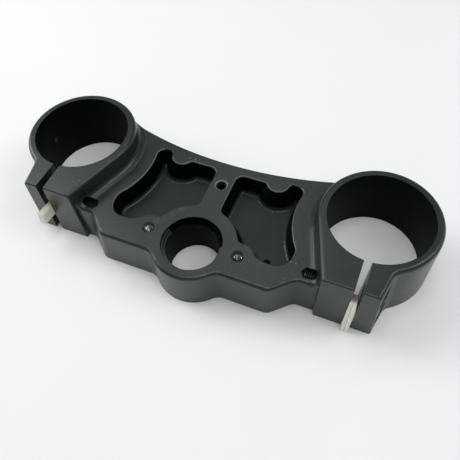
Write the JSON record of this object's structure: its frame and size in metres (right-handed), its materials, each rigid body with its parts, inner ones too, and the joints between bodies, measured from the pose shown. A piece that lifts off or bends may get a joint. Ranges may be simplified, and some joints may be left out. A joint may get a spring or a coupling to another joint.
{
  "type": "triple clamp",
  "caption": "Cast fork clamp with two slotted round bores, a stem bore between them and two open pockets; wedges hold the slots open.",
  "frame": {"origin": "axis of the steering stem bore, on the flat face that lies down", "axes": "+X runs from the stem to one fork bore, +Y to the concave far edge, +Z out of the pockets, which is downwards on the motorcycle"},
  "size_m": [0.2666, 0.1053, 0.0428],
  "materials": {
    "coated_casting": "satin black coating, fine grain",
    "spreader_wood": "raw, cream"
  },
  "bodies": {
    "root": {"triple_clamp": "coated_casting", "left_spreader": "spreader_wood", "right_spreader": "spreader_wood"}
  },
  "joints": []
}
